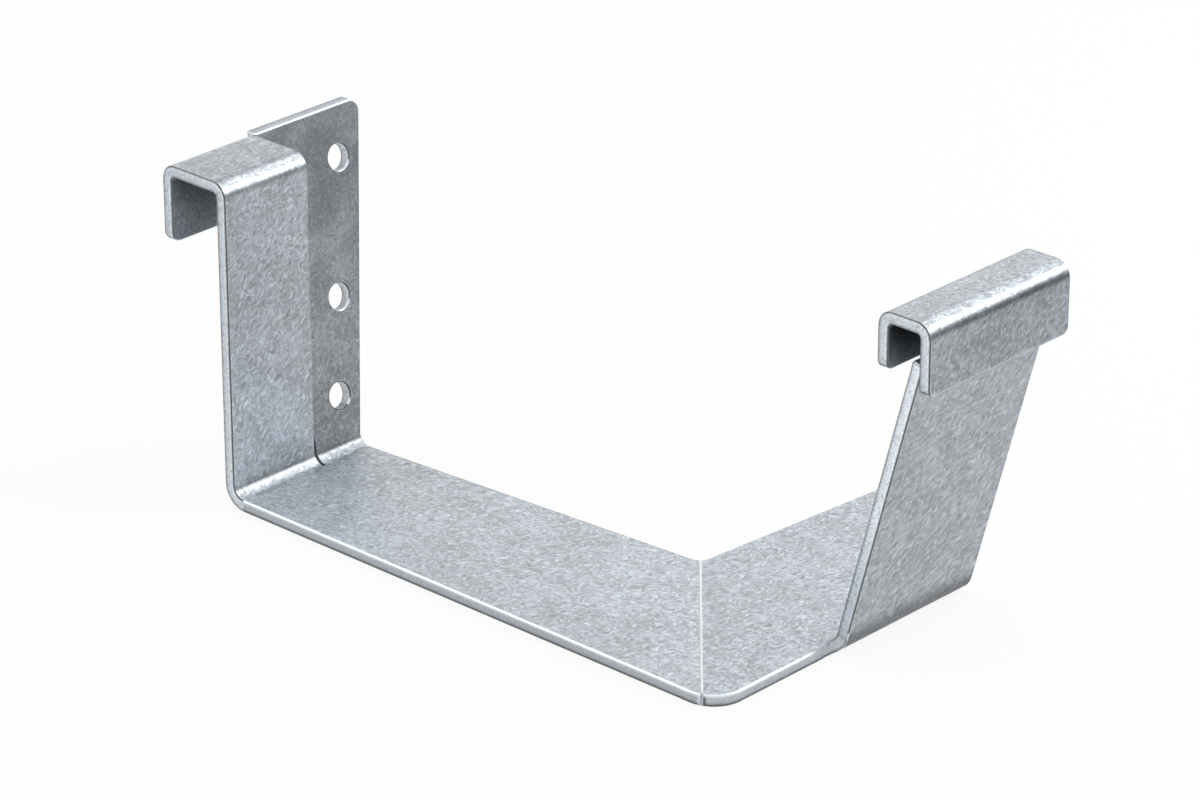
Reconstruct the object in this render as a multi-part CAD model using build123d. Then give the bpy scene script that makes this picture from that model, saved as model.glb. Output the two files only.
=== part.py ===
"""External angle bracket for a box gutter, folded and welded from 3 mm galvanised sheet.

Two flat arms meet at a mitre. The long arm ends in a hooked strap and a fixing plate beside it.
The short arm turns up into a leaning front leg, whose top is welded inside an inverted channel
that holds the gutter's bead.

Millimetres. +X runs along the long arm, towards the corner. +Y runs along the short arm, away
from the corner. +Z is up. The origin is on the underside, near the middle of the corner: it lies
NEAR_INSET from the long arm's near edge and FRONT_INSET from the short arm's front edge.
"""

from build123d import *
import os
from math import acos, atan2, cos, degrees, hypot, radians, sin, tan

# Sheet and folds
SHEET = 3.0
FOLD_INSIDE = 3.0
LEG_FOLD_INSIDE = 2.0
TIGHT_FOLD_INSIDE = 1.0
ARRIS = 0.25
SMOOTH_ANGLE = 30.0

# Flat arms, measured from the sharp outer corner. Both widen towards the mitre, whose line
# meets the long arm's near edge a setback from that corner.
NEAR_INSET = 22.5
FRONT_INSET = 26.0
LONG_ARM = 151.9
LONG_ARM_END_WIDTH = 41.8
LONG_ARM_CORNER_WIDTH = 49.1
SHORT_ARM = 113.0
SHORT_ARM_END_WIDTH = 43.5
SHORT_ARM_CORNER_WIDTH = 48.7
OUTER_CORNER = 8.0
INNER_CORNER = 2.5
END_CORNER = 3.0
MITRE_SETBACK = 4.2
MITRE_GAP = 0.6
WELD_CROWN = 0.15

# Hooked strap at the end of the long arm
STRAP_WIDTH = 26.5
STRAP_HEIGHT = 82.0
HOOK_DEPTH = 21.0
HOOK_RETURN = 19.5
HOOK_CORNER = 2.5

# Fixing plate beside the strap, leaning back to the hook's rear face
SLIT = 0.4
PLATE_SPREAD = 19.2
PLATE_CORNER = 3.0
HOLE_DIAMETER = 6.6
HOLE_EDGE = 6.7
HOLE_HEIGHTS = (16.0, 38.5, 70.0)

# Leaning front leg at the side of the short arm
LEG_START = 40.0
LEG_WIDTH = 44.0
LEG_SETBACK = 0.4
LEG_LEAN = 15.1
LEG_TOP = 77.0
RUN_UP = 5.0

# Bead channel on the front leg
CHANNEL_WIDTH = 14.7
CHANNEL_INNER_LEG = 14.0
CHANNEL_OUTER_LEG = 17.0
CHANNEL_HEADROOM = 7.0
CHANNEL_NEAR_OVERHANG = 1.0
CHANNEL_FAR_OVERHANG = 3.0
CHANNEL_CORNER = 2.0
SEAT_FLAT = 1.0
SEAM_RISE = 4.0
SEAM_END_SETBACK = 4.0
SEAM_HOLLOW = 0.25

# Lines that the sizes above settle
NEAR_EDGE = -NEAR_INSET
FRONT_EDGE = FRONT_INSET
FOLD_MIDDLE = FOLD_INSIDE + SHEET / 2
TIGHT_FOLD_MIDDLE = TIGHT_FOLD_INSIDE + SHEET / 2
STRAP_FRONT = FRONT_EDGE - LONG_ARM
STRAP_FOLD_START = STRAP_FRONT + FOLD_INSIDE
HOOK_REAR = STRAP_FRONT - HOOK_DEPTH
SLIT_NEAR = NEAR_EDGE + STRAP_WIDTH
PLATE_FOOT = NEAR_EDGE + LONG_ARM_END_WIDTH
LEG_NEAR = NEAR_EDGE + LEG_START
LEG_FAR = LEG_NEAR + LEG_WIDTH
LEG_BEND = 90.0 - LEG_LEAN
LEG_FOOT = FRONT_EDGE - LEG_SETBACK
LEG_FOLD_START = LEG_FOOT - LEG_FOLD_INSIDE * tan(radians(LEG_BEND / 2))
RUN_UP_TURNS = (1, 12, 24, 38, 54, 70, 84)
RUN_UP_TAIL = 0.05


def strip(path, near, width):
    """Sheet that follows a path of X and Z at its middle, with its width along Y."""
    section = Plane.XZ.offset(-near) * trace(path, SHEET)
    return extrude(section, width, dir=(0, 1, 0))


def eased(solid, kept=lambda place: False):
    """The solid with its sharp edges broken, apart from those whose middle is kept."""
    faces = solid.faces()
    sharp = ShapeList()
    for edge in solid.edges():
        middle = edge.position_at(0.5)
        normals = [face.normal_at(middle) for face in faces if edge in face.edges()]
        if len(normals) == 2 and normals[0].get_angle(normals[1]) > SMOOTH_ANGLE and not kept(middle):
            sharp.append(edge)
    return chamfer(sharp, ARRIS)


def at_x(cut):
    """Test for a place on a cut end at an X."""
    return lambda place: abs(place.X - cut) < 0.001


def run_up_rise(turn):
    """How far the run-up has come along the arm at a turn, from 0 to 1."""
    return sin(radians(turn)) / sin(radians(RUN_UP_TURNS[-1]))


def run_up_y(turn):
    """Y of the run-up's section at a turn."""
    return LEG_NEAR - RUN_UP * (1 - run_up_rise(turn))


def inner_corner():
    """Sharp corner where the arms' inner edges cross, as X and Y."""
    return FRONT_EDGE - SHORT_ARM_CORNER_WIDTH, NEAR_EDGE + LONG_ARM_CORNER_WIDTH


def arms_outline():
    """Face of both arms up to their folds, with the corners rounded."""
    step = run_up_y(RUN_UP_TURNS[0])
    rear_end = (FRONT_EDGE - SHORT_ARM_END_WIDTH, NEAR_EDGE + SHORT_ARM)
    outline = Polyline(
        (STRAP_FOLD_START, NEAR_EDGE),
        (FRONT_EDGE, NEAR_EDGE),
        (FRONT_EDGE, step),
        (LEG_FOLD_START, step),
        (LEG_FOLD_START, LEG_FAR),
        rear_end,
        inner_corner(),
        (STRAP_FOLD_START, PLATE_FOOT),
        close=True,
    )
    face = make_face(outline)
    for place, radius in (
        ((FRONT_EDGE, NEAR_EDGE), OUTER_CORNER),
        (inner_corner(), INNER_CORNER),
        (rear_end, END_CORNER),
    ):
        corner = face.vertices().sort_by_distance((place[0], place[1], 0))[:1]
        face = fillet(corner, radius)
    return face


def flat_arms():
    """Both arms in one piece, before the mitre is cut."""
    step = run_up_y(RUN_UP_TURNS[0])

    def on_fold(place):
        at_step = abs(place.Y - step) < 0.001 and place.X > LEG_FOLD_START - 0.001
        at_leg = abs(place.X - LEG_FOLD_START) < 0.001 and place.Y > step - 0.001
        return at_x(STRAP_FOLD_START)(place) or at_step or at_leg

    return eased(extrude(arms_outline(), SHEET), on_fold)


def mitre_plane():
    """Plane square to the mitre at the inner corner, with x towards the short arm and y up."""
    inner = Vector(*inner_corner())
    outer = Vector(FRONT_EDGE - MITRE_SETBACK, NEAR_EDGE)
    along = (outer - inner).normalized()
    return Plane(origin=inner, x_dir=(-along.Y, along.X, 0), z_dir=along)


def beyond_mitre(side, clearance):
    """Block that fills one side of the mitre line, from a clearance outwards. Side is 1 or -1."""
    reach = 3 * (LONG_ARM + HOOK_DEPTH)
    return mitre_plane() * Pos(side * (reach / 2 + clearance), 0, 0) * Box(reach, reach, reach)


def strap():
    """Vertical strap with its hook, from the fold at the end of the long arm."""
    middle = SHEET / 2
    path = FilletPolyline(
        (STRAP_FOLD_START + SHEET, middle),
        (STRAP_FRONT - middle, middle),
        (STRAP_FRONT - middle, STRAP_HEIGHT - middle),
        (HOOK_REAR + middle, STRAP_HEIGHT - middle),
        (HOOK_REAR + middle, STRAP_HEIGHT - HOOK_RETURN),
        radius=[FOLD_MIDDLE, TIGHT_FOLD_MIDDLE, TIGHT_FOLD_MIDDLE],
    )
    solid = strip(path, NEAR_EDGE, STRAP_WIDTH)
    foot = STRAP_HEIGHT - HOOK_RETURN
    ends = solid.edges().filter_by(Axis.X).filter_by(lambda e: abs(e.center().Z - foot) < 0.01)
    return eased(fillet(ends, HOOK_CORNER), at_x(STRAP_FOLD_START + SHEET))


def plate_lean():
    """Angle in degrees by which the plate leans back, so that its top rear edge meets the hook's."""
    across = FOLD_INSIDE + HOOK_DEPTH
    up = STRAP_HEIGHT - SHEET - FOLD_INSIDE
    return degrees(acos((FOLD_INSIDE + SHEET) / hypot(across, up)) - atan2(up, across))


def plate_frame():
    """Plane on the plate's front face: x along +Y, y up the plate, from the end of the fold."""
    lean = radians(plate_lean())
    start = (STRAP_FOLD_START - FOLD_INSIDE * cos(lean), 0, SHEET + FOLD_INSIDE * (1 - sin(lean)))
    return Plane(origin=start, x_dir=(0, 1, 0), z_dir=(cos(lean), 0, sin(lean)))


def plate_edge():
    """Far edge of the plate on its frame: its foot, its top and its unit direction."""
    lean = radians(plate_lean())
    foot_height = plate_frame().origin.Z
    foot = Vector(PLATE_FOOT, 0)
    top = Vector(PLATE_FOOT + PLATE_SPREAD, (STRAP_HEIGHT - foot_height) / cos(lean))
    return foot, top, (top - foot).normalized()


def hole_centres():
    """Hole centres on the plate's frame, on a line parallel to the far edge."""
    lean = radians(plate_lean())
    foot, _, along = plate_edge()
    inward = Vector(-along.Y, along.X)
    start = foot + inward * HOLE_EDGE
    centres = []
    for height in HOLE_HEIGHTS:
        up = (height - plate_frame().origin.Z) / cos(lean)
        centres.append(start + along * ((up - start.Y) / along.Y))
    return centres


def fixing_plate():
    """Plate with three holes that leans back beside the strap, cut level with the hook's top."""
    lean = radians(plate_lean())
    middle = SHEET / 2
    corner = STRAP_FOLD_START - FOLD_MIDDLE * tan((radians(90) - lean) / 2)
    spare = 2 * STRAP_HEIGHT
    path = FilletPolyline(
        (STRAP_FOLD_START + SHEET, middle),
        (corner, middle),
        (corner - spare * sin(lean), middle + spare * cos(lean)),
        radius=[FOLD_MIDDLE],
    )
    near = SLIT_NEAR + SLIT
    solid = strip(path, near, spare)

    level = Pos(STRAP_FRONT, 0, STRAP_HEIGHT + spare) * Box(4 * spare, 4 * spare, 2 * spare)
    solid = solid - level

    frame = plate_frame()
    foot, top, along = plate_edge()
    beyond = make_face(
        Polyline(
            (foot.X, -spare),
            (foot.X, foot.Y),
            tuple(foot + along * spare)[:2],
            (foot.X + spare, spare),
            (foot.X + spare, -spare),
            close=True,
        )
    )
    solid = solid - extrude(frame * beyond, spare, both=True)

    corners = solid.edges().filter_by(
        lambda e: abs(e.center().Z - STRAP_HEIGHT) < 0.01 and e.center().Y > top.X - SHEET
    )
    solid = fillet(corners, PLATE_CORNER)

    drill = Cylinder(HOLE_DIAMETER / 2, 4 * SHEET)
    for centre in hole_centres():
        solid = solid - frame * Pos(centre.X, centre.Y, 0) * drill
    return eased(solid, at_x(STRAP_FOLD_START + SHEET))


def build_fascia_leg():
    """Long arm, hooked strap and fixing plate, folded from one sheet."""
    arm = flat_arms() - beyond_mitre(1, -MITRE_GAP / 2)
    return arm + strap() + fixing_plate()


def leg_inside(height):
    """X of the front leg's inner face at a height."""
    return LEG_FOOT + (height - SHEET) * tan(radians(LEG_LEAN))


def channel_seat():
    """X of the channel's face that the front leg's top outer corner seats on."""
    lean = radians(LEG_LEAN)
    return leg_inside(LEG_TOP) + SHEET * cos(lean) - SEAT_FLAT * tan(lean)


def channel_top():
    """Height of the top of the bead channel."""
    return LEG_TOP + CHANNEL_HEADROOM + SHEET


def run_up_section(turn):
    """Section of the run-up at a turn: flat sheet, then as much of the fold as it has reached."""
    outer_radius = LEG_FOLD_INSIDE + SHEET
    share = (1 - cos(radians(turn))) / (1 - cos(radians(RUN_UP_TURNS[-1])))
    least = FRONT_EDGE - ARRIS - LEG_FOLD_START
    most = outer_radius * radians(LEG_BEND)
    reach = least + share * (most - least)
    rise = run_up_rise(turn)
    bend = reach / outer_radius * rise * (2 - rise)
    tail = reach - outer_radius * bend + RUN_UP_TAIL
    back = LEG_FOLD_START - SHEET

    def on_fold(above, angle=bend, beyond=0.0):
        radius = outer_radius - above
        across = LEG_FOLD_START + radius * sin(angle) + beyond * cos(angle)
        return across, outer_radius - radius * cos(angle) + beyond * sin(angle)

    rim = tail + ARRIS
    section = make_face(
        Line((back, 0), (LEG_FOLD_START, 0))
        + ThreePointArc((LEG_FOLD_START, 0), on_fold(0, bend / 2), on_fold(0))
        + Polyline(on_fold(0), on_fold(0, bend, tail), on_fold(ARRIS, bend, rim))
        + Polyline(on_fold(ARRIS, bend, rim), on_fold(SHEET - ARRIS, bend, rim), on_fold(SHEET, bend, tail))
        + Line(on_fold(SHEET, bend, tail), on_fold(SHEET))
        + ThreePointArc(on_fold(SHEET), on_fold(SHEET, bend / 2), (LEG_FOLD_START, SHEET))
        + Polyline((LEG_FOLD_START, SHEET), (back, SHEET), (back, 0))
    )
    return Plane.XZ.offset(-run_up_y(turn)) * section


def run_up():
    """Solid that carries the short arm's front edge smoothly up into the leg's near edge."""
    sections = [run_up_section(turn) for turn in RUN_UP_TURNS]
    return loft(sections) + extrude(sections[-1], SHEET / 2, dir=(0, 1, 0))


def build_front_leg():
    """Short arm and the leaning leg on its side, folded from one sheet."""
    arm = flat_arms() - beyond_mitre(-1, -MITRE_GAP / 2)
    lean = radians(LEG_LEAN)
    middle = SHEET / 2
    fold_middle = LEG_FOLD_INSIDE + middle
    path = FilletPolyline(
        (LEG_FOLD_START - SHEET, middle),
        (LEG_FOLD_START + fold_middle * tan(radians(LEG_BEND / 2)), middle),
        (leg_inside(LEG_TOP) + middle * cos(lean), LEG_TOP - middle * sin(lean)),
        radius=[fold_middle],
    )
    leg = strip(path, LEG_NEAR, LEG_WIDTH)
    reach = 2 * LEG_WIDTH
    seat = Pos(channel_seat() + reach / 2, LEG_NEAR, LEG_TOP) * Box(reach, 4 * reach, LEG_TOP)
    return arm + eased(leg - seat, at_x(LEG_FOLD_START - SHEET)) + run_up()


def build_bead_channel():
    """Inverted channel over the front leg's top, with the longer side outside."""
    middle = SHEET / 2
    top = channel_top()
    outer = channel_seat() + SHEET
    inner = outer - CHANNEL_WIDTH
    path = FilletPolyline(
        (inner + middle, top - CHANNEL_INNER_LEG),
        (inner + middle, top - middle),
        (outer - middle, top - middle),
        (outer - middle, top - CHANNEL_OUTER_LEG),
        radius=TIGHT_FOLD_MIDDLE,
    )
    near = LEG_NEAR - CHANNEL_NEAR_OVERHANG
    solid = strip(path, near, CHANNEL_NEAR_OVERHANG + LEG_WIDTH + CHANNEL_FAR_OVERHANG)
    feet = (top - CHANNEL_INNER_LEG, top - CHANNEL_OUTER_LEG)
    ends = solid.edges().filter_by(Axis.X)
    ends = ends.filter_by(lambda e: min(abs(e.center().Z - foot) for foot in feet) < 0.01)
    return eased(fillet(ends, CHANNEL_CORNER))


def build_mitre_weld():
    """Butt weld along the mitre, flush below and slightly crowned above."""
    half_gap = MITRE_GAP / 2
    section = make_face(
        Line((-half_gap, 0), (half_gap, 0))
        + Line((half_gap, 0), (half_gap, SHEET))
        + ThreePointArc((half_gap, SHEET), (0, SHEET + WELD_CROWN), (-half_gap, SHEET))
        + Line((-half_gap, SHEET), (-half_gap, 0))
    )
    bar = extrude(mitre_plane() * section, 2 * LONG_ARM, both=True)
    return bar & extrude(offset(arms_outline(), -ARRIS), 2 * SHEET)


def build_channel_weld():
    """Seam that fills the wedge between the front leg and the channel's outer side."""
    seat = channel_seat()
    foot = channel_top() - CHANNEL_OUTER_LEG
    head = foot + SEAM_RISE
    lean = radians(LEG_LEAN)

    def leg_outside(height):
        return leg_inside(height) + SHEET / cos(lean)

    hollow = ((seat + leg_outside(foot)) / 2, foot + SEAM_HOLLOW)
    section = make_face(
        ThreePointArc((leg_outside(foot), foot), hollow, (seat, foot))
        + Line((seat, foot), (seat, head))
        + Line((seat, head), (leg_outside(head), head))
        + Line((leg_outside(head), head), (leg_outside(foot), foot))
    )
    near = LEG_NEAR + SEAM_END_SETBACK
    placed = Plane.XZ.offset(-near) * section
    return extrude(placed, LEG_WIDTH - 2 * SEAM_END_SETBACK, dir=(0, 1, 0))


def build_parts():
    """Every separate piece by its name."""
    return {
        "fascia_leg": build_fascia_leg(),
        "front_leg": build_front_leg(),
        "bead_channel": build_bead_channel(),
        "mitre_weld": build_mitre_weld(),
        "channel_weld": build_channel_weld(),
    }


os.makedirs("parts", exist_ok=True)
for name, shape in build_parts().items():
    export_step(shape, f"parts/{name}.step")
    print(name, "volume", round(shape.volume, 1), "solids", len(shape.solids()))
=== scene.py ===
"""Looks, light and camera for the gutter external angle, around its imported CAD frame. Metres throughout."""
import math
from collections import namedtuple

import bpy
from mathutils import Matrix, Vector

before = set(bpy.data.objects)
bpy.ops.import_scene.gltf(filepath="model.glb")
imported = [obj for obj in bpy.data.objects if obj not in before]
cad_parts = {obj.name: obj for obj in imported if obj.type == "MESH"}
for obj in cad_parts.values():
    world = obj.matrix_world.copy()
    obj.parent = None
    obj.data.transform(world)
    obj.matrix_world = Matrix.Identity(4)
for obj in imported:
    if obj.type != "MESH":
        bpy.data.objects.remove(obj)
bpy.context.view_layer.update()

scene = bpy.context.scene
MM = 0.001

# Heights that the finishes and the painted shades at the feet follow
SHEET_TOP = 3.0 * MM
LOW_TOP = SHEET_TOP + 0.05 * MM
RUN_UP_TOP = 6.0 * MM
FOLDS_TOP = 8.0 * MM
WALL_SHADE_TOP = 9.0 * MM
PLATE_SHADE_FOOT = 8.0 * MM
PLATE_SHADE_TOP = 34.0 * MM
BORES_TOP = 78.0 * MM

# Places along the long arm
LONG_ARM_REAR = -122.9 * MM
SLIT_END = -105.0 * MM
SOLE_SHADE_NEAR = -80.0 * MM
LEG_REAR = 20.0 * MM

# Places along the short arm
RIM_HIGHLIGHT_FADE = 3.0 * MM
SLIT_MIDDLE = 3.8 * MM
SLIT_REACH = 0.6 * MM
SLIT_FAR = 4.2 * MM
RUN_UP_NEAR = 12.4 * MM
BORES_FAR = 17.0 * MM
LEG_NEAR = 17.8 * MM
LEG_FAR = 61.6 * MM

# The mitre's foot, the direction across it, and how far the weld reaches to each side
MITRE_FOOT = (21.8 * MM, -22.5 * MM, 0.0)
MITRE_ACROSS = (0.741, 0.672, 0.0)
MITRE_REACH = 1.3 * MM

# Kinds of socket
FLOAT = "NodeSocketFloat"
VECTOR = "NodeSocketVector"


def new_tree(material):
    """Empty node tree of a material."""
    material.use_nodes = True
    material.node_tree.nodes.clear()
    return material.node_tree


def add(tree, kind, settings=None, **inputs):
    """Node of a kind, with its settings and with each input set or linked, by name or as in_0, in_1, in_2."""
    node = tree.nodes.new(kind)
    for name, value in (settings or {}).items():
        setattr(node, name, value)
    for name, value in inputs.items():
        key = int(name[3:]) if name.startswith("in_") else name.replace("_", " ")
        socket = node.inputs[key]
        if isinstance(value, bpy.types.NodeSocket):
            tree.links.new(value, socket)
        else:
            socket.default_value = value
    return node


def math_of(tree, operation, *values, clamp=False):
    """Result of a Math node."""
    inputs = {f"in_{i}": value for i, value in enumerate(values)}
    return add(tree, "ShaderNodeMath", {"operation": operation, "use_clamp": clamp}, **inputs).outputs[0]


def vector_of(tree, operation, *values):
    """Result of a Vector Math node that gives a vector."""
    inputs = {f"in_{i}": value for i, value in enumerate(values)}
    return add(tree, "ShaderNodeVectorMath", {"operation": operation}, **inputs).outputs[0]


def stretched(tree, vector, factor):
    """Vector times a number."""
    return add(tree, "ShaderNodeVectorMath", {"operation": "SCALE"}, in_0=vector, Scale=factor).outputs[0]


def dot_of(tree, one, other):
    """Dot product of two vectors."""
    node = add(tree, "ShaderNodeVectorMath", {"operation": "DOT_PRODUCT"}, in_0=one, in_1=other)
    return node.outputs["Value"]


def span(tree, value, low, high, to_low=0.0, to_high=1.0, smooth=True):
    """Value carried from one range onto another, held at its ends."""
    settings = {"interpolation_type": "SMOOTHSTEP" if smooth else "LINEAR", "clamp": True}
    node = add(
        tree, "ShaderNodeMapRange", settings,
        Value=value, From_Min=low, From_Max=high, To_Min=to_low, To_Max=to_high,
    )
    return node.outputs["Result"]


def noise_of(tree, place, scale, detail, roughness, distortion=0.0):
    """Noise between about 0.25 and 0.75 at a scale in waves per metre."""
    node = add(
        tree, "ShaderNodeTexNoise", {"noise_dimensions": "3D"},
        Vector=place, Scale=scale, Detail=detail, Roughness=roughness, Distortion=distortion,
    )
    return node.outputs["Fac"]


def swirled(tree, place, scale, reach):
    """Place pushed about by a slow noise, by up to about half a reach each way."""
    node = add(
        tree, "ShaderNodeTexNoise", {"noise_dimensions": "3D"},
        Vector=place, Scale=scale, Detail=1.0,
    )
    centred = vector_of(tree, "SUBTRACT", node.outputs["Color"], (0.5, 0.5, 0.5))
    return vector_of(tree, "ADD", place, stretched(tree, centred, reach))


def share_of(tree, *masks):
    """Product of masks and shares."""
    product = masks[0]
    for mask in masks[1:]:
        product = math_of(tree, "MULTIPLY", product, mask)
    return product


def largest(tree, *masks):
    """Largest of masks."""
    result = masks[0]
    for mask in masks[1:]:
        result = math_of(tree, "MAXIMUM", result, mask)
    return result


def less(tree, mask):
    """1 less a mask."""
    return math_of(tree, "SUBTRACT", 1.0, mask, clamp=True)


def chosen(tree, mask, inside, outside):
    """One value where a mask is 1 and another where it is 0."""
    return math_of(tree, "MULTIPLY_ADD", mask, math_of(tree, "SUBTRACT", inside, outside), outside)


def beyond(tree, value, limit):
    """1 where a value is over a limit, or else 0."""
    return math_of(tree, "GREATER_THAN", value, limit)


def short_of(tree, value, limit):
    """1 where a value is under a limit, or else 0."""
    return math_of(tree, "LESS_THAN", value, limit)


def new_group(name, inputs, outputs):
    """Shader node group with inputs given as (name, kind, default) and number outputs given by name."""
    group = bpy.data.node_groups.new(name, "ShaderNodeTree")
    for socket_name, kind, default in inputs:
        socket = group.interface.new_socket(socket_name, in_out="INPUT", socket_type=kind)
        socket.default_value = default
    for socket_name in outputs:
        group.interface.new_socket(socket_name, in_out="OUTPUT", socket_type=FLOAT)
    entry = group.nodes.new("NodeGroupInput")
    result = group.nodes.new("NodeGroupOutput")
    return group, entry.outputs, result.inputs


def put_out(group, result, masks):
    """Links masks to the group outputs of their names."""
    for name, mask in masks.items():
        group.links.new(mask, result[name])


# Zinc's noises, in waves per metre, and how far its marks curl and are drawn out
CURL_SCALE = 330.0
CURL_REACH = 3.0 * MM
CLOUD_SCALE = 110.0
SHEET_MARK_SCALE = 1350.0
FINE_MARK_SCALE = 1500.0
SPECKLE_SCALE = 2600.0
FLECK_SCALE = 700.0
GRAIN_STRETCH = 2.8

# Parts of the noises that are carried onto 0 to 1
CLOUD_RANGE = (0.30, 0.70)
MARK_RANGE = (0.28, 0.72)
SPECKLE_RANGE = (0.25, 0.75)
FLECK_RANGE = (0.60, 0.74)

# Shares of the marks and of the speckle in the relief
MARKS_RELIEF = 0.8
SPECKLE_RELIEF = 0.2


def build_zinc_grain():
    """Zinc's mottle: soft clouds, fine curling marks drawn out along the grain, speckle and bright flecks."""
    group, given, result = new_group(
        "zinc grain",
        [
            ("Position", VECTOR, (0, 0, 0)),
            ("Grain", VECTOR, (1, 0, 0)),
            ("Stretch", FLOAT, GRAIN_STRETCH),
            ("Mark Scale", FLOAT, SHEET_MARK_SCALE),
        ],
        ["Clouds", "Marks", "Speckle", "Flecks", "Height"],
    )
    # Lengths along the grain shrink by the stretch, so that the noise is drawn out there
    curled = swirled(group, given["Position"], CURL_SCALE, CURL_REACH)
    grain = vector_of(group, "NORMALIZE", given["Grain"])
    along = dot_of(group, curled, grain)
    kept = math_of(group, "DIVIDE", 1.0, given["Stretch"])
    taken = math_of(group, "MULTIPLY", along, math_of(group, "SUBTRACT", 1.0, kept))
    drawn = vector_of(group, "SUBTRACT", curled, stretched(group, grain, taken))

    clouds = noise_of(group, given["Position"], CLOUD_SCALE, detail=5.0, roughness=0.62, distortion=0.5)
    marks = noise_of(group, drawn, given["Mark Scale"], detail=3.0, roughness=0.62, distortion=0.5)
    speckle = noise_of(group, given["Position"], SPECKLE_SCALE, detail=2.0, roughness=0.6)
    flecks = noise_of(group, drawn, FLECK_SCALE, detail=4.0, roughness=0.7, distortion=0.6)
    speckle_relief = math_of(group, "MULTIPLY", speckle, SPECKLE_RELIEF)
    put_out(group, result, {
        "Clouds": span(group, clouds, *CLOUD_RANGE),
        "Marks": span(group, marks, *MARK_RANGE, smooth=False),
        "Speckle": span(group, speckle, *SPECKLE_RANGE, smooth=False),
        "Flecks": span(group, flecks, *FLECK_RANGE),
        "Height": math_of(group, "MULTIPLY_ADD", marks, MARKS_RELIEF, speckle_relief),
    })
    return group


# How far from an edge its painted highlight and shade lines reach, and the turns of the rounded normal that
# count
EDGE_REACH = 1.4 * MM
EDGE_SAMPLES = 8
STRIP_TURN = (0.04, 0.11)
# A rounded normal leaning toward this takes a painted highlight on a cut, and leaning away a painted shade
LEAN_AXIS = (0.7, 0.0, 0.7)
LEAN_RANGE = (-0.14, 0.14)
RISE_RANGE = (0.10, 0.35)
SIDEWAYS_RANGE = (0.10, 0.30)


def build_edge_lines():
    """Thin strips along sharp edges, found by a rounded normal, and the ways in which that normal turns."""
    group, given, result = new_group(
        "edge lines",
        [("Radius", FLOAT, EDGE_REACH)],
        ["Strip", "Lean", "Rise", "Front", "Far"],
    )
    rounded = group.nodes.new("ShaderNodeBevel")
    rounded.samples = EDGE_SAMPLES
    group.links.new(given["Radius"], rounded.inputs["Radius"])
    normal = rounded.outputs["Normal"]
    flat = group.nodes.new("ShaderNodeNewGeometry").outputs["Normal"]
    turned = math_of(group, "SUBTRACT", 1.0, dot_of(group, normal, flat), clamp=True)
    lean = dot_of(group, vector_of(group, "SUBTRACT", normal, flat), LEAN_AXIS)
    parts = add(group, "ShaderNodeSeparateXYZ", Vector=normal).outputs
    put_out(group, result, {
        "Strip": span(group, turned, *STRIP_TURN),
        "Lean": span(group, lean, *LEAN_RANGE, smooth=False),
        "Rise": span(group, parts["Z"], *RISE_RANGE),
        "Front": span(group, parts["X"], *SIDEWAYS_RANGE),
        "Far": span(group, parts["Y"], *SIDEWAYS_RANGE),
    })
    return group


# Where each kind of face begins and is full, by a part of its normal
CUT_ACROSS = (0.04, 0.12)
RIM_FACING = (0.85, 0.70)
RIM_SIDE_FACING = (0.4, 0.2)
UPRIGHT_CUT_FORWARD = (0.80, 0.60)
RUN_UP_TURN = (0.5, 0.7)
RUN_UP_LOWEST = -0.2
TOP_EDGE_RISE = (0.4, 0.6)
UPWARD_RISE = (0.35, 0.9)
SOLE_RISE = (0.8, 0.95)
FRONT_TURN = (0.3, 0.5)
SLANT_START = (0.35, 0.6)
UPRIGHT_SLANT_START = (0.35, 0.5)
SLANT_END = (0.9, 0.8)

# What is left of the rim's painted highlight line at the leg, and the depths of two of the shades
RIM_HIGHLIGHT_LEFT = 0.1
PLATE_SHADE_DEPTH = 0.30
SOLE_SHADE_DEPTH = 0.16


def slanting(tree, part, start):
    """1 where a part of the normal is neither small nor full, as on a broken arris."""
    return share_of(tree, span(tree, part, *start), span(tree, part, *SLANT_END))


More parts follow.
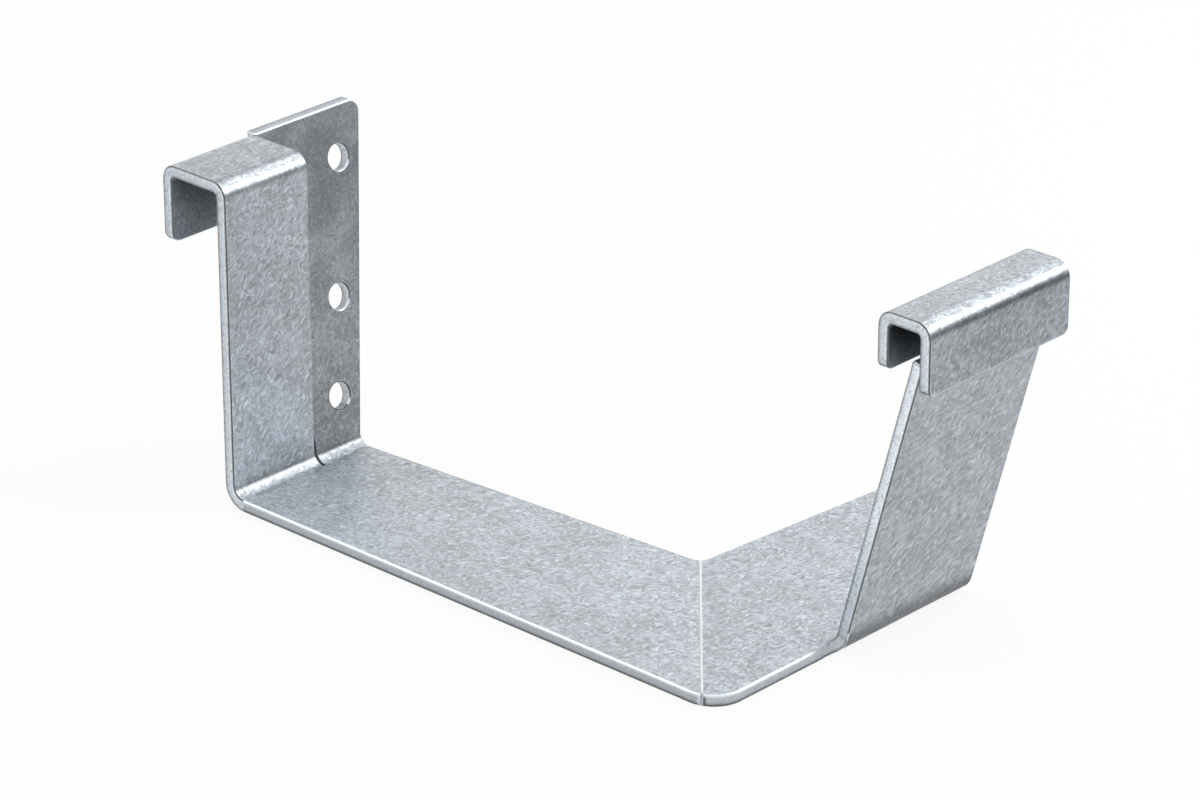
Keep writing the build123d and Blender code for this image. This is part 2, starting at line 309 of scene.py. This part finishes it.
def build_face_kinds():
    """Masks of the kinds of face, told by place and normal.

    They are the cuts across the sheet, the low rims and their painted highlight lines, the uprights' top
    edges, the bores, the broken arrises, the faces that look up, the sides of the slit, and the soft shades
    at the foot of the leg's wall, at the foot of the plate and at the end of the long arm's sole.
    """
    group, given, result = new_group(
        "face kinds",
        [("Position", VECTOR, (0, 0, 0)), ("Upright Cuts", FLOAT, 1.0)],
        ["Cut", "Rim", "Top Edge", "Bore", "Arris", "Upward", "Foot Shade", "Slit", "Rim Line"],
    )
    geometry = group.nodes.new("ShaderNodeNewGeometry")
    turned = add(group, "ShaderNodeSeparateXYZ", Vector=geometry.outputs["True Normal"]).outputs
    place = add(group, "ShaderNodeSeparateXYZ", Vector=given["Position"]).outputs
    forward = math_of(group, "ABSOLUTE", turned["X"])
    across = math_of(group, "ABSOLUTE", turned["Y"])
    facing = math_of(group, "ABSOLUTE", turned["Z"])

    # Regions of the part
    leg_end = beyond(group, place["X"], LEG_REAR)
    leg_side = share_of(
        group, beyond(group, place["Y"], LEG_NEAR), short_of(group, place["Y"], LEG_FAR), leg_end
    )
    strap_side = short_of(group, place["X"], LONG_ARM_REAR)
    low_places = short_of(group, place["Z"], LOW_TOP)
    low = share_of(group, low_places, less(group, largest(group, leg_side, strap_side)))
    past_slit = beyond(group, place["Y"], SLIT_FAR)
    upright = share_of(group, given["Upright Cuts"], beyond(group, place["Z"], FOLDS_TOP), past_slit)
    run_up = share_of(
        group,
        beyond(group, place["Y"], RUN_UP_NEAR),
        short_of(group, place["Y"], LEG_NEAR),
        leg_end,
        short_of(group, place["Z"], RUN_UP_TOP),
    )

    # Cuts, with the rims, bores and top edges among them
    rim = share_of(group, span(group, facing, *RIM_FACING), low)
    upright_cut = share_of(group, upright, span(group, forward, *UPRIGHT_CUT_FORWARD))
    cut = largest(group, span(group, across, *CUT_ACROSS), rim, upright_cut)
    toward_rim = math_of(group, "SUBTRACT", turned["X"], turned["Y"])
    run_up_cut = share_of(
        group, span(group, toward_rim, *RUN_UP_TURN), beyond(group, turned["Z"], RUN_UP_LOWEST)
    )
    run_up_rim = share_of(group, run_up, span(group, place["Z"], RUN_UP_TOP, SHEET_TOP))
    bore = share_of(
        group, upright_cut, short_of(group, place["Y"], BORES_FAR), short_of(group, place["Z"], BORES_TOP)
    )
    top_edge = share_of(group, upright, span(group, turned["Z"], *TOP_EDGE_RISE), less(group, bore))
    highlight_left = span(group, place["Y"], RIM_HIGHLIGHT_FADE, RUN_UP_NEAR, 1.0, RIM_HIGHLIGHT_LEFT)
    rim_highlight_band = share_of(group, rim, chosen(group, leg_end, highlight_left, 1.0))
    from_slit = math_of(group, "ABSOLUTE", math_of(group, "SUBTRACT", place["Y"], SLIT_MIDDLE))
    slit = share_of(group, short_of(group, place["X"], SLIT_END), short_of(group, from_slit, SLIT_REACH))

    # Broken arrises
    rim_side = share_of(group, low, span(group, facing, *RIM_SIDE_FACING))
    side_slant = share_of(
        group, slanting(group, across, SLANT_START), less(group, rim_side), less(group, upright)
    )
    rim_slant = share_of(group, slanting(group, facing, SLANT_START), rim)
    upright_slant = share_of(group, slanting(group, forward, UPRIGHT_SLANT_START), upright)
    arris = share_of(group, largest(group, side_slant, rim_slant, upright_slant), less(group, run_up))

    # Soft shades at the feet
    to_front = span(group, turned["X"], *FRONT_TURN)
    wall_foot = share_of(group, leg_side, to_front, span(group, place["Z"], WALL_SHADE_TOP, 0.0))
    plate_foot = share_of(
        group, strap_side, to_front, past_slit,
        span(group, place["Z"], PLATE_SHADE_TOP, PLATE_SHADE_FOOT, 0.0, PLATE_SHADE_DEPTH),
    )
    sole_end = share_of(
        group, span(group, turned["Z"], *SOLE_RISE), low_places,
        span(group, place["X"], SOLE_SHADE_NEAR, LONG_ARM_REAR, 0.0, SOLE_SHADE_DEPTH),
    )
    put_out(group, result, {
        "Cut": chosen(group, run_up, run_up_cut, cut),
        "Rim": largest(group, rim, run_up_rim),
        "Top Edge": top_edge,
        "Bore": bore,
        "Arris": arris,
        "Upward": span(group, turned["Z"], *UPWARD_RISE),
        "Foot Shade": largest(group, wall_foot, plate_foot, sole_end),
        "Slit": slit,
        "Rim Line": rim_highlight_band,
    })
    return group


zinc_grain = build_zinc_grain()
edge_lines = build_edge_lines()
face_kinds = build_face_kinds()

# Zinc, and what its marks, flecks and clouds add to its roughness
ZINC = (0.393, 0.425, 0.456)
ZINC_METALLIC = 0.86
ZINC_ROUGHNESS = 0.39
MARKS_ROUGHNESS = -0.10
FLECKS_ROUGHNESS = -0.08
CLOUDS_ROUGHNESS = 0.05
ZINC_BUMP = 0.30
ZINC_BUMP_DEPTH = 0.03 * MM

# Weld metal, in tones of its own colour, and what its speckle adds to its roughness
WELD = (0.80, 0.82, 0.84)
WELD_DARK = 0.9
WELD_LIGHT = 1.08
# Zinc grey on the weld's sides, lightened as painted light
WELD_SIDE_LIT_TONE = 1.3
WELD_METALLIC = 0.55
WELD_ROUGHNESS = 0.36
SPECKLE_ROUGHNESS = 0.12
WELD_BUMP = 0.40
WELD_BUMP_DEPTH = 0.05 * MM

# Directions in which the zinc's marks run on each sheet
LONG_ARM_GRAIN = (0.62, 0.72, 0.70)
SHORT_ARM_GRAIN = (0.18, 0.90, 0.62)
CHANNEL_GRAIN = (0.30, 0.86, 0.55)

# Tones of clouds on faces, of speckle on cuts, and of painted shade at the back to painted highlight at the
# front of cuts
CLOUD_DARK = 0.85
CLOUD_LIGHT = 1.16
CUT_DARK = 1.15
CUT_LIGHT = 1.85
RIM_SHADED_TONE = 0.15
CUT_SHADED_TONE = 0.55
CUT_LIT_TONE = 1.45

# Coats over a colour: the tone of each, and the share of it that is laid on
Coat = namedtuple("Coat", "tone share")
DARK_MARKS = Coat(tone=0.60, share=0.85)
LIGHT_MARKS = Coat(tone=1.55, share=0.95)
FLECKS = Coat(tone=1.55, share=0.30)
FOOT_SHADES = Coat(tone=0.05, share=0.95)
PITS = Coat(tone=0.55, share=0.45)
# Low rims darkened as painted shade from the floor close below them
LOW_RIM_SHADE = Coat(tone=0.88, share=0.72)
TOP_EDGES = Coat(tone=0.85, share=0.60)
BORES = Coat(tone=0.55, share=0.85)
# Painted highlights and painted shade along edges, in place of light on the rounded arrises
PALE_EDGE_HIGHLIGHTS = Coat(tone=2.0, share=0.40)
FAR_EDGE_SHADE = Coat(tone=0.40, share=0.60)
DARK_EDGE_SHADE = Coat(tone=0.20, share=0.92)
WHITE_EDGE_HIGHLIGHTS = Coat(tone=2.2, share=0.95)
# Painted shade in hollows, darkest where a piece shelters itself
SHADE_IN_HOLLOWS = Coat(tone=0.07, share=0.95)
WELD_SPECKS = Coat(tone=0.7, share=0.35)

# Parts of the marks that are dark, light or pits
DARK_MARK_RANGE = (0.50, 0.12)
LIGHT_MARK_RANGE = (0.55, 0.92)
PIT_RANGE = (0.45, 0.15)

# Share of painted highlight lines on faces looking up, and how much painted shade the slit's sides are spared
UPWARD_HIGHLIGHT_SHARE = 0.35
SLIT_RELIEF = 0.7

# Painted shade in hollows, as the reach of their shelter and the part of it that counts
HOLLOW_SHADE_REACH = 20.0 * MM
HOLLOW_SHADE_SAMPLES = 8
HOLLOW_SHADE_RANGE = (0.68, 0.30)


def place_group(tree, group, **inputs):
    """Group node with its named inputs set or linked."""
    return add(tree, "ShaderNodeGroup", {"node_tree": group}, **inputs).outputs


def mixed(tree, share, one, other, blend="MIX"):
    """Colour mixed from two by a share."""
    node = add(tree, "ShaderNodeMix", {"data_type": "RGBA", "blend_type": blend})
    for index, value in ((0, share), (6, one), (7, other)):
        if isinstance(value, bpy.types.NodeSocket):
            tree.links.new(value, node.inputs[index])
        else:
            node.inputs[index].default_value = value if index == 0 else (*value[:3], 1.0)
    return node.outputs[2]


def scaled(colour, factor):
    """Colour times a factor."""
    return tuple(part * factor for part in colour)


def coated(tree, colour, coat, *masks, base=ZINC):
    """Colour with a coat of a base colour laid over it where all the masks are."""
    return mixed(tree, share_of(tree, *masks, coat.share), colour, scaled(base, coat.tone))


def off_the_seam(tree, place):
    """0 beside the mitre and 1 away from it."""
    from_foot = vector_of(tree, "SUBTRACT", place, MITRE_FOOT)
    return beyond(tree, math_of(tree, "ABSOLUTE", dot_of(tree, from_foot, MITRE_ACROSS)), MITRE_REACH)


def show_surface(tree, shader):
    """Puts a shader on a material's surface."""
    output = add(tree, "ShaderNodeOutputMaterial")
    tree.links.new(shader.outputs[0], output.inputs["Surface"])


def show_metal(tree, colour, metallic, roughness, relief, bump, bump_depth):
    """Puts metal with a fine relief on a material's surface."""
    bumped = add(tree, "ShaderNodeBump", Strength=bump, Distance=bump_depth, Height=relief)
    shader = add(
        tree, "ShaderNodeBsdfPrincipled",
        Base_Color=colour, Roughness=roughness, Normal=bumped.outputs["Normal"], Metallic=metallic,
    )
    show_surface(tree, shader)


def face_colour(tree, zinc, kinds, tone):
    """Colour of broad faces: clouds, dark and light marks, flecks, and the shades at the feet."""
    face = scaled(ZINC, tone)
    dark_marks = span(tree, zinc["Marks"], *DARK_MARK_RANGE, smooth=False)
    light_marks = span(tree, zinc["Marks"], *LIGHT_MARK_RANGE, smooth=False)
    colour = mixed(tree, zinc["Clouds"], scaled(face, CLOUD_DARK), scaled(face, CLOUD_LIGHT))
    colour = coated(tree, colour, DARK_MARKS, dark_marks, base=face)
    colour = coated(tree, colour, LIGHT_MARKS, light_marks, base=face)
    colour = coated(tree, colour, FLECKS, zinc["Flecks"], base=face)
    return coated(tree, colour, FOOT_SHADES, kinds["Foot Shade"])


def cut_colour(tree, zinc, edges, kinds, cut_tone):
    """Colour of cuts: pale, speckled and pitted, duller on top edges and bores, with painted shade and
    highlights.
    """
    dark = scaled(ZINC, CUT_DARK * cut_tone)
    light = scaled(ZINC, CUT_LIGHT * cut_tone)
    colour = mixed(tree, zinc["Speckle"], dark, light)
    colour = coated(tree, colour, PITS, span(tree, zinc["Marks"], *PIT_RANGE))
    # Painted shade on the low rims
    colour = coated(tree, colour, LOW_RIM_SHADE, kinds["Rim"])
    colour = coated(tree, colour, TOP_EDGES, kinds["Top Edge"])
    colour = coated(tree, colour, BORES, kinds["Bore"])
    # Painted shade on the side of a cut that leans away from the upper front, darkest on rims, and a painted
    # highlight on the side leaning toward it
    shaded_tone = chosen(tree, kinds["Rim"], RIM_SHADED_TONE, CUT_SHADED_TONE)
    shaded_side = span(tree, edges["Lean"], 0.0, 0.5, shaded_tone, 1.0, smooth=False)
    lit_side = span(tree, edges["Lean"], 0.5, 1.0, 1.0, CUT_LIT_TONE, smooth=False)
    return mixed(tree, 1.0, colour, share_of(tree, shaded_side, lit_side), "MULTIPLY")


def with_painted_edge_light(tree, colour, place, edges, kinds, line_share):
    """Colour with painted edge light: highlights and shade on faces, dark shade and white highlights on cuts.
    """
    any_strip = largest(tree, edges["Strip"], kinds["Arris"])
    strip = share_of(tree, any_strip, off_the_seam(tree, place))
    broad = less(tree, kinds["Cut"])
    # Pale painted highlights along broad faces' arrises, fewer on faces that look up, and painted shade where
    # an edge turns away
    pale_sheen_share = span(tree, kinds["Upward"], 0.0, 1.0, line_share, UPWARD_HIGHLIGHT_SHARE)
    pale_highlight = share_of(tree, strip, broad, pale_sheen_share, less(tree, edges["Far"]))
    colour = mixed(tree, pale_highlight, colour, scaled(ZINC, PALE_EDGE_HIGHLIGHTS.tone))
    colour = coated(tree, colour, FAR_EDGE_SHADE, strip, broad, edges["Far"])

    # White painted highlights where a rim or top edge turns up or forward, and painted shade along the other
    # cut edges
    top_glint = share_of(tree, kinds["Top Edge"], edges["Front"])
    rim_glint = share_of(tree, kinds["Rim Line"], edges["Rise"])
    bright = largest(tree, rim_glint, top_glint)
    no_top = less(tree, kinds["Top Edge"])
    edge_shade = share_of(tree, strip, kinds["Cut"], less(tree, bright), no_top, DARK_EDGE_SHADE.share)
    off_slit = math_of(tree, "MULTIPLY_ADD", kinds["Slit"], -SLIT_RELIEF, 1.0)
    colour = mixed(tree, share_of(tree, edge_shade, off_slit), colour, scaled(ZINC, DARK_EDGE_SHADE.tone))
    return coated(tree, colour, WHITE_EDGE_HIGHLIGHTS, any_strip, kinds["Cut"], bright)


def with_painted_shade_in_hollows(tree, colour, kinds):
    """Colour darkened by painted shade where a piece shelters itself, less so on the slit's sides."""
    settings = {"samples": HOLLOW_SHADE_SAMPLES, "only_local": True}
    shelter = add(tree, "ShaderNodeAmbientOcclusion", settings, Distance=HOLLOW_SHADE_REACH)
    hollow_shade = span(tree, shelter.outputs["AO"], *HOLLOW_SHADE_RANGE)
    share = math_of(tree, "MULTIPLY_ADD", kinds["Slit"], -SLIT_RELIEF, SHADE_IN_HOLLOWS.share)
    return mixed(tree, share_of(tree, hollow_shade, share), colour, scaled(ZINC, SHADE_IN_HOLLOWS.tone))


def galvanised(
    name, grain, shift, tone,
    mark_scale=SHEET_MARK_SCALE, cut_tone=1.0, upright_cuts=1.0, line_share=PALE_EDGE_HIGHLIGHTS.share,
):
    """Hot-dip zinc on folded sheet: finely marked faces, pale pitted cuts, painted highlights and shade at
    edges, feet and hollows.
    """
    material = bpy.data.materials.new(name)
    tree = new_tree(material)
    place = add(tree, "ShaderNodeTexCoord").outputs["Object"]
    shifted = vector_of(tree, "ADD", place, shift)
    zinc = place_group(
        tree, zinc_grain, Position=shifted, Grain=grain, Stretch=GRAIN_STRETCH, Mark_Scale=mark_scale
    )
    edges = place_group(tree, edge_lines, Radius=EDGE_REACH)
    kinds = place_group(tree, face_kinds, Position=place, Upright_Cuts=upright_cuts)

    face = face_colour(tree, zinc, kinds, tone)
    colour = mixed(tree, kinds["Cut"], face, cut_colour(tree, zinc, edges, kinds, cut_tone))
    colour = with_painted_edge_light(tree, colour, place, edges, kinds, line_share)
    # Painted shade where the piece shelters itself
    colour = with_painted_shade_in_hollows(tree, colour, kinds)

    roughness = math_of(tree, "MULTIPLY_ADD", zinc["Marks"], MARKS_ROUGHNESS, ZINC_ROUGHNESS)
    roughness = math_of(tree, "MULTIPLY_ADD", zinc["Flecks"], FLECKS_ROUGHNESS, roughness)
    roughness = math_of(tree, "MULTIPLY_ADD", zinc["Clouds"], CLOUDS_ROUGHNESS, roughness)
    show_metal(tree, colour, ZINC_METALLIC, roughness, zinc["Height"], ZINC_BUMP, ZINC_BUMP_DEPTH)
    return material


def weld_metal(name):
    """Bright dressed weld: pale and finely mottled with dull specks where it faces up, elsewhere zinc grey
    lightened as painted light.
    """
    material = bpy.data.materials.new(name)
    tree = new_tree(material)
    place = add(tree, "ShaderNodeTexCoord").outputs["Object"]
    zinc = place_group(
        tree, zinc_grain, Position=place, Grain=(1, 1, 0), Stretch=1.0, Mark_Scale=FINE_MARK_SCALE
    )
    kinds = place_group(tree, face_kinds, Position=place)
    colour = mixed(tree, zinc["Marks"], scaled(WELD, WELD_DARK), scaled(WELD, WELD_LIGHT))
    colour = coated(tree, colour, WELD_SPECKS, zinc["Flecks"], base=WELD)
    # Zinc grey on the faces that do not look up, lightened as painted light against the shade at the weld's
    # end
    colour = mixed(tree, kinds["Upward"], scaled(ZINC, WELD_SIDE_LIT_TONE), colour)
    roughness = math_of(tree, "MULTIPLY_ADD", zinc["Speckle"], SPECKLE_ROUGHNESS, WELD_ROUGHNESS)
    show_metal(tree, colour, WELD_METALLIC, roughness, zinc["Height"], WELD_BUMP, WELD_BUMP_DEPTH)
    return material


def dress(node, material):
    """Puts a material in each of a CAD node's slots."""
    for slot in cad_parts[node].material_slots:
        slot.material = material


# The long sheet's higher tone is painted light that lightens its strap
long_zinc = galvanised("galvanised long sheet", LONG_ARM_GRAIN, shift=(0.0, 0.0, 0.0), tone=1.08)
short_zinc = galvanised(
    "galvanised short sheet", SHORT_ARM_GRAIN, shift=(0.31, 0.17, 0.05), tone=1.0, cut_tone=1.35
)
channel_zinc = galvanised(
    "galvanised channel", CHANNEL_GRAIN, shift=(0.07, 0.43, 0.21), tone=0.92,
    mark_scale=FINE_MARK_SCALE, cut_tone=1.10, upright_cuts=0.0, line_share=0.85,
)
weld = weld_metal("bright weld")
dress("fascia_leg", long_zinc)
dress("front_leg", short_zinc)
dress("bead_channel", channel_zinc)
dress("mitre_weld", weld)
dress("channel_weld", weld)

# White backdrop that metal reflects too
WORLD_DIFFUSE_LEVEL = 0.75
FLOOR_COLOUR = (0.86, 0.86, 0.86)
FLOOR_WHITE_SHARE = 0.90
FLOOR_SIZE = 8.0
FLOOR_DROP = 0.05 * MM

# Studio cards
SIDE_CARD_COLOUR = (0.05, 0.05, 0.055)
BACK_CARD_COLOUR = (0.50, 0.50, 0.51)

# Camera, from the fit of the photograph's corners
CAMERA_AZIMUTH = 42.924
CAMERA_ELEVATION = 24.407
CAMERA_DISTANCE = 1.14633
CAMERA_TARGET = (-0.028929, -0.0005, 0.050711)
SENSOR_WIDTH = 36.0
FOCAL_LENGTH = 154.56


def seen_directly(tree):
    """1 for camera, glossy and transmission rays, or else 0."""
    path = add(tree, "ShaderNodeLightPath").outputs
    return largest(tree, path["Is Camera Ray"], path["Is Glossy Ray"], path["Is Transmission Ray"])


def build_world():
    """White where it is seen, and a plain level where it only lights."""
    world = bpy.data.worlds.new("white studio")
    scene.world = world
    world.use_nodes = True
    tree = world.node_tree
    tree.nodes.clear()
    strength = span(tree, seen_directly(tree), 0.0, 1.0, WORLD_DIFFUSE_LEVEL, 1.0, smooth=False)
    background = add(tree, "ShaderNodeBackground", Color=(1, 1, 1, 1), Strength=strength)
    output = add(tree, "ShaderNodeOutputWorld")
    tree.links.new(background.outputs[0], output.inputs["Surface"])


def panel(name, size_x, size_y, material):
    """Flat rectangle centred on the origin."""
    x, y = size_x / 2, size_y / 2
    mesh = bpy.data.meshes.new(name)
    mesh.from_pydata([(-x, -y, 0), (x, -y, 0), (x, y, 0), (-x, y, 0)], [], [(0, 1, 2, 3)])
    mesh.materials.append(material)
    made = bpy.data.objects.new(name, mesh)
    scene.collection.objects.link(made)
    return made


def build_floor():
    """Pale floor, mostly white where it is seen, that keeps a faint shadow."""
    material = bpy.data.materials.new("pale floor")
    tree = new_tree(material)
    diffuse = add(tree, "ShaderNodeBsdfDiffuse", Color=(*FLOOR_COLOUR, 1.0))
    white = add(tree, "ShaderNodeEmission", Color=(1, 1, 1, 1), Strength=1.0)
    share = math_of(tree, "MULTIPLY", seen_directly(tree), FLOOR_WHITE_SHARE)
    mix = add(tree, "ShaderNodeMixShader", in_0=share, in_1=diffuse.outputs[0], in_2=white.outputs[0])
    show_surface(tree, mix)
    floor = panel("floor", FLOOR_SIZE, FLOOR_SIZE, material)
    floor.location.z = -FLOOR_DROP


def aim(made, place, target):
    """Places an object and turns its -Z axis to a target."""
    made.location = place
    made.rotation_euler = (Vector(target) - Vector(place)).to_track_quat("-Z", "Y").to_euler()


def studio_card(name, place, target, width, height, colour):
    """Studio card that only reflections see."""
    material = bpy.data.materials.new(name)
    tree = new_tree(material)
    show_surface(tree, add(tree, "ShaderNodeBsdfDiffuse", Color=(*colour, 1.0)))
    card = panel(name, width, height, material)
    aim(card, place, target)
    card.visible_camera = False
    card.visible_diffuse = False
    card.visible_shadow = False


def softbox(name, direction, distance, width, height, radiance):
    """Area lamp of a given radiance, aimed at the object from a direction."""
    lamp = bpy.data.lights.new(name, "AREA")
    lamp.shape = "RECTANGLE"
    lamp.size = width
    lamp.size_y = height
    lamp.energy = radiance * math.pi * width * height
    made = bpy.data.objects.new(name, lamp)
    scene.collection.objects.link(made)
    centre = Vector(CAMERA_TARGET)
    aim(made, centre + Vector(direction).normalized() * distance, centre)
    made.visible_camera = False


def build_camera():
    """Camera at the photograph's place and lens."""
    azimuth = math.radians(CAMERA_AZIMUTH)
    elevation = math.radians(CAMERA_ELEVATION)
    back = Vector((
        math.sin(azimuth) * math.cos(elevation),
        -math.cos(azimuth) * math.cos(elevation),
        math.sin(elevation),
    ))
    data = bpy.data.cameras.new("camera")
    data.sensor_fit = "HORIZONTAL"
    data.sensor_width = SENSOR_WIDTH
    data.lens = FOCAL_LENGTH
    camera = bpy.data.objects.new("camera", data)
    scene.collection.objects.link(camera)
    camera.location = Vector(CAMERA_TARGET) + back * CAMERA_DISTANCE
    camera.rotation_euler = (-back).to_track_quat("-Z", "Y").to_euler()
    scene.camera = camera


build_world()
build_floor()
studio_card(
    "side flag", place=(0.20, 0.33, 0.08), target=(-0.138, 0.025, 0.045),
    width=0.50, height=0.20, colour=SIDE_CARD_COLOUR,
)
studio_card(
    "back card", place=(-0.34, 0.18, 0.27), target=(-0.136, -0.01, 0.085),
    width=0.20, height=0.10, colour=BACK_CARD_COLOUR,
)
softbox(
    "left softbox", direction=(-0.62, -0.41, 0.67), distance=1.0, width=0.40, height=0.40, radiance=2.2
)
softbox(
    "back softbox", direction=(-0.62, 0.667, 0.46), distance=1.2, width=0.90, height=0.50, radiance=0.50
)
softbox(
    "fold softbox", direction=(0.50, 0.667, 0.54), distance=0.9, width=0.45, height=0.36, radiance=5.0
)
softbox(
    "high softbox", direction=(-0.02, 0.667, 0.75), distance=0.9, width=0.40, height=0.14, radiance=4.0
)
build_camera()
scene.view_settings.view_transform = "Standard"
